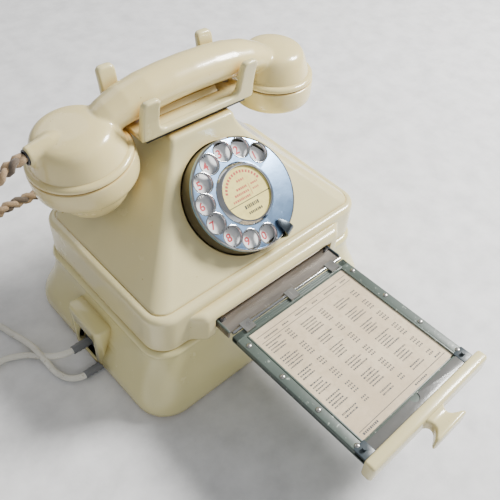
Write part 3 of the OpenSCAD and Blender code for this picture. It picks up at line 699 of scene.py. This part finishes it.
outer = [(11.0, 3.4, 1.0), (11.5, 1.2, 1.8), (12.2, 0.2, 4), (12.3, 0, 8), (11.9, 0, 12), (10.9, 0, 16),
         (9.2, 0, 20.5),
         (7.2, 0, 25), (5.2, 0, 30), (3.3, 0, 35), (1.8, 0, 40.5), (0.8, 0, 46), (0.4, 0, 51), (0.6, 0, 54),
         (1.0, 0, 55.2), (1.0, 0.4, 56.6), (1.0, 1.4, 58.0), (1.0, 3.0, 58.8), (1.0, 5, 59)]
inner = [(0, 3, 56), (0, 3, 50), (1, 3, 41), (4, 3, 31), (8.6, 3, 22), (11.5, 3, 14), (11.3, 3, 1.2)]
shell = loft("bell_box", [bell_ring(g, e, z) for e, g, z in inner + outer], IVORY_BELL, 50)
well = lambda: rbox("cut", (-130, -9, 6), (-90, 15, 30), 2.5)
boolean(shell, [well()])
boss_at = ((7.1, 18.4, 1), (7.7, 19, 2), (7.7, 19, 40.5), (7.2, 18.5, 42.3), (6, 17.4, 43))
boss = loft("bell_box_boss", [[(x - 101.0, y + 3, z) for x, y in rrect(w, d, 4, 6)] for w, d, z in boss_at],
            IVORY_BELL, 45)
boolean(boss, [well(), rbox("cut2", (-130, -15.5, -3), (-100, -8.5, 6.2), 1.2)])
recess = prism("bell_box_recess", [(-104.6, 5), (-96.5, 29.5), (-95.0, 29.5), (-95.0, 5)], -8.5, 14.5, BLACK,
               0.2,
               xf=SWAP_YZ)
boolean(recess, [loft("c", [[(x, 5 + 4.2 * cos(a), 13 + 4.2 * sin(a)) for a in range(0, 360, 20)]
                            for x in (-115, -90)])])
paint(recess, SLATE)
bell = join("bell_box", [shell, boss])
piece(bell, nodes=["bell_case"])

# sleeves round the two line cords
for name, (y, z, r, x0) in {"sleeve_slot": (5, 13, 3.2, -119), "sleeve_base": (-12, 3.3, 2.9, -121)}.items():
    ribs = [(r + (0.25 if k % 2 else -0.1), 3 + k * 1.6) for k in range(7)]
    prof = [(r - 0.9, 0), (r - 0.1, 0), (r, 0.6)] + ribs + [(r, 16), (r, 25), (r - 0.9, 25)]
    lathe(name, prof, SLEEVE, 28, 40, xf=T((x0, y, z)) @ RY(90))
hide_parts("cord_sleeves")


# ------------------------------------------------------------------ case
def spread(t):
    """how far the case's slope stands out, from 1 at its foot to nearly 0 at its top."""
    h = lambda s: (s + math.sqrt(s * s + 4 * 0.09 ** 2)) / 2
    return h(1 - t / 0.86) / h(1)


def skirt(g, z, r=16):
    """outline of the case's lower wall, drawn in by g."""
    return [(x, y, z) for x, y in rrect(94 - g, 67.5 - g, max(r - g, 2), 12, 6)]


def slope(t, g=0.0):
    """outline of the case's upper part at t from 0 to 1 of its height, drawn in by g."""
    s = spread(t)
    hx, y0, y1, r = 23 + 65 * s - g, 5.6 - 67.1 * s + g, 49.6 + 11.9 * s - g, max(2.5 + 8 * s - g * 0.4, 1.5)
    pts = rrect(hx, (y1 - y0) / 2, r, 12, 6)
    return [(x, y + (y0 + y1) / 2, 90.3 + 66.7 * t) for x, y in pts]


out_rings = [skirt(g, z) for g, z in ((0.9, 59.3), (0.2, 59.6), (0, 60.4), (0, 66), (0, 74), (0, 82),
                                      (0, 85.3))]
out_rings += [skirt(4 - 4 * cos(a), 85.3 + 4 * sin(a)) for a in (18, 36, 54, 72, 90)]  # rounded shoulder
out_rings += [skirt(5.2, 89.3, 15), [(x * 0.998, y * 0.998, 88.9) for x, y, z in slope(0, -0.9)],
              [(x, y, 89.0) for x, y, z in slope(0, -0.3)]]  # ledge, and the groove at the slope's foot
out_rings += [slope(t) for t in (0, 0.012, 0.03, 0.06, 0.12, 0.2, 0.3, 0.4, 0.48, 0.55, 0.61, 0.66, 0.7, 0.74,
                                 0.78, 0.82, 0.86, 0.9, 0.94, 0.975)]
out_rings += [slope(0.99, 0.6), slope(1.0, 2.0)]
in_rings = [skirt(3, 59.3), skirt(3, 86)] + [slope(t, 3.4) for t in (0.02, 0.25, 0.5, 0.64, 0.72, 0.79, 0.86)]
case = loft("case", in_rings[::-1] + out_rings, IVORY, 50)


def s_curve(u):
    u = min(max(u, 0), 1)
    return u * u * (3 - 2 * u)


# the hood over the drawer: its front line swells forward, and its top edge is rounded back
front_line = [(x, -67.2 - 8.3 * s_curve((71.5 - abs(x)) / 12)) for x in range(-73, 74)]
hood_at = ((1.2, 59.3), (0.1, 60.2), (0, 62), (0, 70), (0, 77.2), (0.5, 79.4), (1.7, 81.2), (3.4, 82.2),
           (5.6, 82.6))
hood = loft("hood", [[(x, y + gy * s_curve((73 - abs(x)) / 10), z) for x, y in front_line]
                     + [(73, -62, z), (-73, -62, z)] for gy, z in hood_at], IVORY, 50)
slot_cut = lambda: rbox("cut", (-54.6, -90, 50), (54.6, -60, 75.8), 1.0, seg=2)
boolean(hood, [slot_cut()])
dial_cut = lathe("cut", [(0, -34), (39.4, -34), (39.4, 30), (0, 30)], None, 96, 30, xf=DIAL)
gland_cut = loft("cut", [[(-52 + 6.2 * cos(a), y, 81 + 6.2 * sin(a)) for a in range(0, 360, 15)]
                         for y in (55, 80)])
boolean(case, [slot_cut(), dial_cut, gland_cut])
shade(case, 40)
case = join("case", [case, hood])
piece(case, nodes=["upper_case"])

# ------------------------------------------------------------------ dial
plate = lathe("dial_finger_plate", [(2.2, -1.2), (2.2, 0), (36.6, 0), (37.5, -0.25), (38.05, -0.9),
                                    (38.1, -3.2), (37.1, -3.2), (36.9, -1.3)], PLATE, 128, 30)
angles = [HOLE_FIRST + HOLE_STEP * k for k in range(HOLES)]
hole_at = [(HOLE_RUN * cos(a), HOLE_RUN * sin(a)) for a in angles]
boolean(plate, [join("cutters", [rod_z(x, y, 6.7, -5, 5, 8) for x, y in hole_at])])
shade(plate, 30)
for v in plate.data.vertices:
    v.co = (DIAL @ (v.co / MM)) * MM
rim_prof = [(6.35, -2.6), (6.4, -0.3), (6.65, 0.1), (7.0, 0.16), (7.3, 0.02), (7.3, -0.15), (6.8, -0.3),
            (6.75, -2.6)]
rims = join("dial_hole_rims", [lathe("rim", rim_prof, CHROME, 48, 40, xf=DIAL @ T((x, y, 0))) for x,
                               y in hole_at])
ring = lathe("dial_label_ring", [(17.9, 1.0), (17.9, 2.3), (18.3, 2.55), (19.0, 2.5), (20.8, 0.9),
                                 (21.3, 0.02),
                                 (17.9, 0.02)], CHROME, 96, 25, xf=DIAL)
outer_ring = lathe("dial_edge_ring", [(36.75, 0.01), (36.85, 0.2), (37.3, 0.2), (37.9, -0.3), (38.0, -0.9),
                                      (37.4, -0.5)], CHROME, 128, 25, xf=DIAL)
piece(plate, "dial", ["finger_plate"])
piece(rims, "dial"); piece(outer_ring, "dial")
piece(ring, "dial", ["label_ring"])

# label: a black line across and short greeked marks above and below it
rnd = random.Random(5)


def dash(x0, y0, x1, y1, w, z):
    d = Vector((x1 - x0, y1 - y0, 0)).normalized()
    n = Vector((-d.y, d.x, 0)) * w / 2
    a, b = Vector((x0, y0, z)), Vector((x1, y1, z))
    return [a - n, b - n, b + n, a + n]


def print_mesh(name, quads, mat, xf):
    verts, faces = [], []
    for q in quads:
        faces.append(tuple(range(len(verts), len(verts) + 4)))
        verts += q
    return obj_from(name, verts, faces, mat, 0, xf)


quads_k, quads_r = [dash(-16.9, -4.6, 16.9, -4.6, 0.5, LABEL_Z)], [dash(4.2, -2.6, 4.2, 5.2, 0.35, LABEL_Z)]
for a in range(22, 160, 9):      # a curved line of marks along the top
    quads_r.append([Vector((r * cos(a + t), r * sin(a + t), LABEL_Z))
                    for r, t in ((13.6, 0), (13.6, 5.5), (15.4, 5.5), (15.4, 0))])
for x0, x1, y, h, kind in ((-3, 3, 9.2, 1.5, 0), (-6, 2.6, 4.2, 1.5, 0), (-9, 2.6, 1.0, 1.5, 0),
                           (-12, 2.6, -2.2, 1.5, 0),
                           (6, 12.5, 4.0, 1.2, 0), (6, 11.5, 0.6, 1.2, 0), (-6, 5.5, -8.2, 2.4, 1),
                           (-5, 6.5, -12.6, 1.7, 1)):
    x = x0
    while x < x1 - 0.4:
        k = rnd.uniform(0.7, 1.3)
        (quads_k if kind else quads_r).append(dash(x, y, min(x + k, x1), y, h, LABEL_Z))
        x += k + rnd.uniform(0.4, 0.6)
label_marks = print_mesh("dial_label_marks", quads_k, INK, DIAL)
label_red = print_mesh("dial_label_red", quads_r, PRINT_RED, DIAL)
piece(label_marks, "dial"); piece(label_red, "dial")

# figures on the number plate, with small black marks above each
nums = []
for k in range(HOLES):
    c = bpy.data.curves.new("n", 'FONT')
    c.body, c.size, c.extrude, c.offset = str((k + 1) % 10), 7.6, 0.03, 0.16
    c.align_x, c.align_y = 'CENTER', 'CENTER'
    o = linked("n", c)
    bpy.context.view_layer.update()
    me = bpy.data.meshes.new_from_object(o.evaluated_get(bpy.context.evaluated_depsgraph_get()))
    x, y = hole_at[k]
    for v in me.vertices:
        v.co = (DIAL @ (v.co + Vector((x - 0.6, y - 0.6, FIGURE_Z)))) * MM
    nums.append(linked("n", me))
    bpy.data.objects.remove(o, do_unlink=True)
    paint(nums[-1], RED)
figures = join("dial_figures", nums)
ticks = print_mesh("dial_ticks", [dash(x + u, y + 5.0, x + u, y + 6.4, 0.7, -4.96)
                                  for x, y in hole_at for u in (-2.4, -0.8, 0.8, 2.4)], INK, DIAL)
piece(figures); piece(ticks)

# finger stop: a flat hook that comes up outside the plate and over it
stop_path = [(40.6, -12), (40.6, -6), (40.6, -1.5), (40.2, 0.8), (38.8, 2.1), (36.5, 2.5), (33, 2.2),
             (30, 1.7), (28, 1.2)]
rings = []
for i, (r, z) in enumerate(stop_path):
    (ra, za), (rb, zb) = stop_path[max(i - 1, 0)], stop_path[min(i + 1, len(stop_path) - 1)]
    t = Vector((rb - ra, 0, zb - za)).normalized()
    n = Vector((-t.z, 0, t.x))
    w = (4, 4, 4, 4, 4, 3.7, 3.0, 2.2, 0.9)[i]
    rings.append([Vector((r, 0, z)) + Vector((0, 1, 0)) * x + n * y for x, y in rrect(w, 0.75, 0.5, 4)])
stop = loft("dial_finger_stop", rings, DARK_STOP, 40, xf=DIAL @ RZ(STOP_ANGLE))
piece(stop, nodes=["finger_stop"])

# ------------------------------------------------------------------ cradle and plunger
CR = T((0, HAND_Y, 160.3))
base_bar = rbox("cradle", (-44.6, -21.6, 0), (44.6, 21.6, 3.4), 1.1, IVORY, xf=CR)
boolean(base_bar, [rbox("c", (-27.5, HAND_Y - 8, 150), (27.5, HAND_Y + 8, 175), 0)])


def horn_u():
    """outline of the front plate: two horns joined by a low bar."""
    def arc(x, z, r, first, last, step):
        return [(x + r * cos(a), z + r * sin(a)) for a in range(first, last, step)]
    p = arc(42.3, 2.6, 2.4, -90, 1, 15)  # lower right corner
    p += arc(40.7, 25.6, 4.0, 0, 91, 15) + arc(35.6, 26.0, 3.6, 90, 181, 15)  # the horn's rounded top
    p += [(32.0, 14)] + arc(26.2, 10.6, 5.6, 0, -91, -15)  # down the inside to its fillet
    return p + [(-x, z) for x, z in p[::-1]]


horns = []
for s in (-1, 1):
    h = prism("h", horn_u(), -2.5, 2.5, None, 1.4, 60, seg=3)
    melt(h, 0.8, 2)
    for v in h.data.vertices:
        x, z, d = v.co / MM
        lean = 19.4 + 4.6 * (max(z, 0) / 29.5) ** 1.7
        thick = 1.0 + 0.25 * max(0, 1 - z / 14)
        v.co = CR @ Vector((x, s * (lean + d * thick), z)) * MM
    if s == 1:
        h.data.flip_normals()
    h.data.update()
    paint(h, IVORY)
    horns.append(h)
cradle = join("cradle_horns", [base_bar] + horns)
face_out(cradle.data)
piece(cradle, nodes=["cradle"])
pl = prism("plunger_bar", [(-7.5, 0), (7.5, 0), (7.5, 2.4), (4.8, 5.45), (-4.8, 5.45), (-7.5, 2.4)], -26, 26,
           IVORY, 0.7, 30, xf=T((0, HAND_Y, 161.5)) @ XY_TO_YZ)
piece(pl, "plunger", ["plunger"])

# ------------------------------------------------------------------ handset
# half of the handle's sections: distance from its middle, drop, half width and half height
half = [(0, 0, 14.6, 12), (17, 0.5, 14.6, 12), (34, 1.8, 14.4, 11.8), (50, 4.5, 13.8, 11),
        (62, 8.4, 12.8, 10.0),
        (68, 11, 11.8, 9.2), (74, 14.4, 10, 7.5), (80, 19, 7, 5)]
sec = [(-x, d, w, h) for x, d, w, h in half[:0:-1]] + half
handle = loft("handle", [[(5.7 + x, HAND_Y + w * cos(a), 181 - d + h * sin(a)) for a in range(0, 360, 12)]
                         for x, d, w, h in sec], None, 60)


def head(R, xf):
    """the domed end of the handset above a cap of radius R."""
    prof = [(0, 17.4), (R - 2.6, 17.4), (R - 3.6, 21), (R - 4.9, 25), (R - 6.6, 30), (R - 8.3, 34.2),
            (R - 9.8, 36.6), (R - 12.2, 38.4), (R - 16, 39.6), (R - 22, 40.6), (0, 41)]
    return lathe("head", prof, None, 96, 60, xf=xf, closed=False)


# the fairing that the cord leaves by
fair_at = ((-107.5, 166.6, 5.4, 6.6), (-104, 166.8, 5.8, 6.9), (-99, 167.2, 6.8, 7.4), (-92, 167.8, 8.6, 7.8),
           (-84, 168.2, 10, 7.2), (-74, 168.2, 10, 6.2))
fair = loft("fair", [[(x, HAND_Y + ry * cos(a), z + rz * sin(a)) for a in range(0, 360, 15)]
                     for x, z, ry, rz in fair_at], None, 60)
hs = join("handset", [handle, head(MOUTH_R, MOUTH), head(EAR_R, EAR), fair])
melt(hs, 1.1, 4)
paint(hs, IVORY_HS)
boolean(hs, [loft("c", [[(x, HAND_Y + r * cos(a), CORD_Z + r * sin(a)) for a in range(0, 360, 12)]
                        for x, r in ((-110, 5.0), (-106.2, 4.6), (-100, 4.4))])])
shade(hs, 50)
beads = [lathe("bead", [(R - 6, 17.5), (R - 1.4, 17.5), (R - 0.7, 18.0), (R - 0.45, 19.1), (R - 0.8, 20.2),
                        (R - 1.9, 21.0), (R - 3.4, 21.5), (R - 6, 21.5)], IVORY_HS, 96, 40, xf=xf)
         for R, xf in ((MOUTH_R, MOUTH), (EAR_R, EAR))]
hs = join("handset", [hs] + beads)
piece(hs, "handset", ["handset_body"])


def cap(name, R, xf, inner_r, node, holes=False):
    """a screwed cap open to inner_r; holes adds a ring of six."""
    prof = [(inner_r, 2.2), (inner_r, 1.2), (inner_r + 1.2, 0.4), (R - 7, 0), (R - 3.6, 0.2), (R - 1.6, 1.1),
            (R - 0.5, 2.6), (R - 0.05, 4.8), (R, 8), (R, 15.2), (R - 0.3, 16.4), (R - 1.2, 17.0),
            (R - 4, 17.0), (R - 4, 14), (R - 2.4, 12), (R - 2.4, 3.6), (inner_r, 3.4)]
    ob = lathe(name, prof, IVORY_HS, 96, 35, xf=xf)
    if holes:
        cs = [rod_z(9 * cos(q), 9 * sin(q), 1.7, -3, 8, 24, xf) for q in range(0, 360, 60)]
        boolean(ob, [join("cs", cs)])
        shade(ob, 35)
    return piece(ob, "handset", [node])


cap("handset_ear_cap", EAR_R, EAR, 2.0, "ear_cap", True)
cap("handset_mouth_cap", MOUTH_R, MOUTH, 15, "mouth_cap")
HORN = MOUTH @ RY(-17)
bowl = lathe("handset_horn", [(25.2, 1.8), (25.6, -2), (25.3, -6.5), (24.2, -10.5), (22.6, -13.6),
                              (21.0, -15.8),
                              (20.2, -16.5), (19.3, -16.3), (18.6, -15.2), (17.0, -9), (14.5, -2),
                              (13.5, 2.5)],
             IVORY_HS, 96, 50, xf=HORN)
piece(bowl, "handset", ["mouth_horn"])
bush = lathe("handset_cord_bush", [(3.95, 0), (4.7, 0), (4.9, 0.7), (4.2, 4.5), (3.95, 4.5)], BLACK, 32, 30,
             xf=T((-108.0, HAND_Y, CORD_Z)) @ RY(90))
piece(bush, "handset")
seam = [lathe("handset_seam", [(R - 3, 16.8), (R - 1.3, 16.8), (R - 1.3, 17.7), (R - 3, 17.7)], SEAM, 96, 0,
              xf=xf)
        for R, xf in ((MOUTH_R, MOUTH), (EAR_R, EAR))]
piece(join("handset_seams", seam), "handset")

# ------------------------------------------------------------------ drawer
tray_parts = [rbox("t", (-53, -134, -5), (53, -22, -1.62), 0.7, TRAY, xf=DRAWER)]
for lo, hi in (((-53, -134, -4), (-45.6, -22, 0)), ((45.6, -134, -4), (53, -22, 0)),
               ((-53, -134, -4), (53, -125.3, 0)),
               ((-53, -27.8, -4), (53, -22, 0))):
    tray_parts.append(rbox("t", lo, hi, 0.9, TRAY, xf=DRAWER))
for y in (-27.0, -25.3, -23.6):
    tray_parts.append(rbox("t", (-42, y - 0.45, -0.4), (42, y + 0.45, 0.45), 0.3, TRAY, seg=2, xf=DRAWER))
for s in (-1, 1):     # raised inner lips beside the card
    tray_parts.append(rbox("t", (s * 45.2 - 0.7, -125, -1.4), (s * 45.2 + 0.7, -28, 0.35), 0.4, TRAY, seg=2,
                           xf=DRAWER))
tray = join("drawer_card_tray", tray_parts)
piece(tray, "drawer", ["drawer_tray"])
doms = []
for x in (-49.4, 49.4):
    for k in range(4):
        doms.append(lathe("s", [(0, 1.1), (0.8, 1.02), (1.4, 0.72), (1.8, 0.3), (1.85, 0.0), (0, 0)], SCREW,
                          24, 50,
                          xf=DRAWER @ T((x, -34.5 - 30.08 * k, 0.0)), closed=False))
domes = join("drawer_screws", doms)
piece(domes, "drawer", ["tray_screws"])
strip = rbox("drawer_clear_strip", (-45.5, -133.6, -0.2), (45.5, -126.6, 0.45), 0.25, GREYSTRIP, xf=DRAWER)
boolean(strip, [rod_z(0, -127.0, 3.6, -2, 3, 10, DRAWER)])
shade(strip, 30)
piece(strip, "drawer")
for nm, x in (("left", -48.5), ("right", 48.5)):
    pad = rbox(f"drawer_corner_{nm}", (x - 4.6, -133.8, -0.1), (x + 4.6, -124.6, 0.7), 0.5, SLATE, xf=DRAWER)
    boolean(pad, [rod_z(x, -129, 1.3, -2, 3, 20, DRAWER)])
    shade(pad, 30)
    piece(pad, "drawer")
for nm, s in (("left", -1), ("right", 1)):      # rolled cheek and hook beside the slider
    cheek = rbox(f"drawer_cheek_{nm}", (s * 52.2 - 0.8, -19.0, -4.6), (s * 52.2 + 0.8, 3, 1.3), 0.7,
                 TRAY if s < 0 else SLATE, xf=DRAWER)
    piece(cheek, "drawer")
    hook = [rbox("h", (s * 49 - 2.2, -9.4, 0.1), (s * 49 + 2.2, -8.0, 1.5), 0.3, BLACK, seg=2, xf=DRAWER),
            rbox("h", (s * 50 - 0.7, -9.4, 0.1), (s * 50 + 0.7, -3.4, 1.5), 0.3, BLACK, seg=2, xf=DRAWER)]
    piece(join(f"drawer_hook_{nm}", hook), "drawer")
bar = rbox("drawer_bar", (-56.5, -142, -9.5), (56.5, -134.1, 5.5), 2.2, IVORY, 4, xf=DRAWER)
piece(bar, "drawer", ["drawer_front"])
krings = []
for y, hx, hz in ((-141.0, 9.6, 5.8), (-142.2, 9.2, 5.5), (-143.4, 8.0, 4.7), (-145, 7.2, 4.2),
                  (-147, 7.2, 4.3), (-149, 8.4, 4.9),
                  (-150.8, 11, 5.5), (-152.2, 13.6, 5.9), (-153.3, 14.9, 6.0), (-154.1, 15.0, 5.8),
                  (-154.6, 14.4, 5.2)):
    krings.append([(x, y, -2.5 + z) for x, z in rrect(hx, hz, min(hz, hx) * 0.55, 6)])
knob = loft("drawer_pull", krings, IVORY, 45, xf=DRAWER)
piece(knob, "drawer", ["drawer_knob"])

# print on the card: ruled lines and columns of short greeked strokes
CARD_Z = -0.975
qd = [dash(-42, y, 42, y, 0.4, CARD_Z) for y in (-33.2, -38.6)]
qd.append(dash(-42, -120, 42, -120, 0.45, CARD_Z))
rnd = random.Random(11)
for c in range(3):
    for x, k in ((-38 + c * 28, 11), (-22 + c * 28, 5)):
        while k > 0:
            w = rnd.uniform(0.7, 1.6)
            qd.append(dash(x, -36.1, x + w, -36.1, 1.0, CARD_Z))
            x += w + 0.35
            k -= w + 0.35
for c in range(3):
    x0 = -41 + c * 28.5
    y = -41 - (0, 1.4, 3.0)[c] * 2
    for block in range(6):
        for r in range((4, 5, 3, 4, 4, 5)[(block + c) % 6] if block < 5 else 2):
            x, end = x0, x0 + rnd.uniform(8, 13.5)
            while x < end:
                w = rnd.uniform(0.5, 1.5)
                qd.append(dash(x, y, min(x + w, end), y, rnd.uniform(0.8, 1.15), CARD_Z))
                x += w + rnd.uniform(0.22, 0.4)
            x = x0 + 17
            for q in range(3):
                qd.append(dash(x + q * 1.5, y, x + q * 1.5 + 1.0, y, 1.1, CARD_Z))
            y -= 2.35
        y -= 3.6
for x0, x1, y in ((-41, -28, -122.2), (8, 20, -122.2), (34, 40, -118.0)):
    x = x0
    while x < x1:
        w = rnd.uniform(0.8, 1.6)
        qd.append(dash(x, y, x + w, y, 1.5 if x0 < 0 else 1.1, CARD_Z))
        x += w + 0.4
piece(print_mesh("card_print", qd, PRINT, DRAWER), "drawer")

# whatever has not been given to a moving body stays with the base
for ob in list(bpy.context.scene.objects):
    if ob.type == 'MESH' and ob.parent is None and "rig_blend" not in ob:
        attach(ob, "base")

# ------------------------------------------------------------------ surroundings
def soft_light(name, size, power, at, to, color=(1, 1, 1)):
    l = bpy.data.lights.new(name, 'AREA')
    l.shape, l.size, l.energy, l.color = 'SQUARE', size, power, color
    o = bpy.data.objects.new(name, l)
    o.location = at
    o.rotation_euler = (Vector(to) - Vector(at)).to_track_quat('-Z', 'Y').to_euler()
    bpy.context.scene.collection.objects.link(o)


soft_light("key", 0.4, 50, (0.95, -0.35, 1.05), (0, 0, 0.1), (1, 0.985, 0.955))
soft_light("fill", 1.2, 3, (-0.5, -1.1, 0.9), (0, 0, 0.08), (0.97, 0.98, 1))
soft_light("back", 0.9, 4, (-0.1, 1.2, 1.1), (0, 0, 0.1))
w = bpy.data.worlds.new("world")
w.use_nodes = True
w.node_tree.nodes["Background"].inputs[0].default_value = (0.9, 0.92, 0.95, 1)
w.node_tree.nodes["Background"].inputs[1].default_value = 0.42
bpy.context.scene.world = w
FLOOR_HALF = 3000
floor = obj_from("floor", [(x * FLOOR_HALF, y * FLOOR_HALF, 0) for x,
                           y in ((-1, -1), (1, -1), (1, 1), (-1, 1))],
                 [(0, 1, 2, 3)], FLOOR, 0)
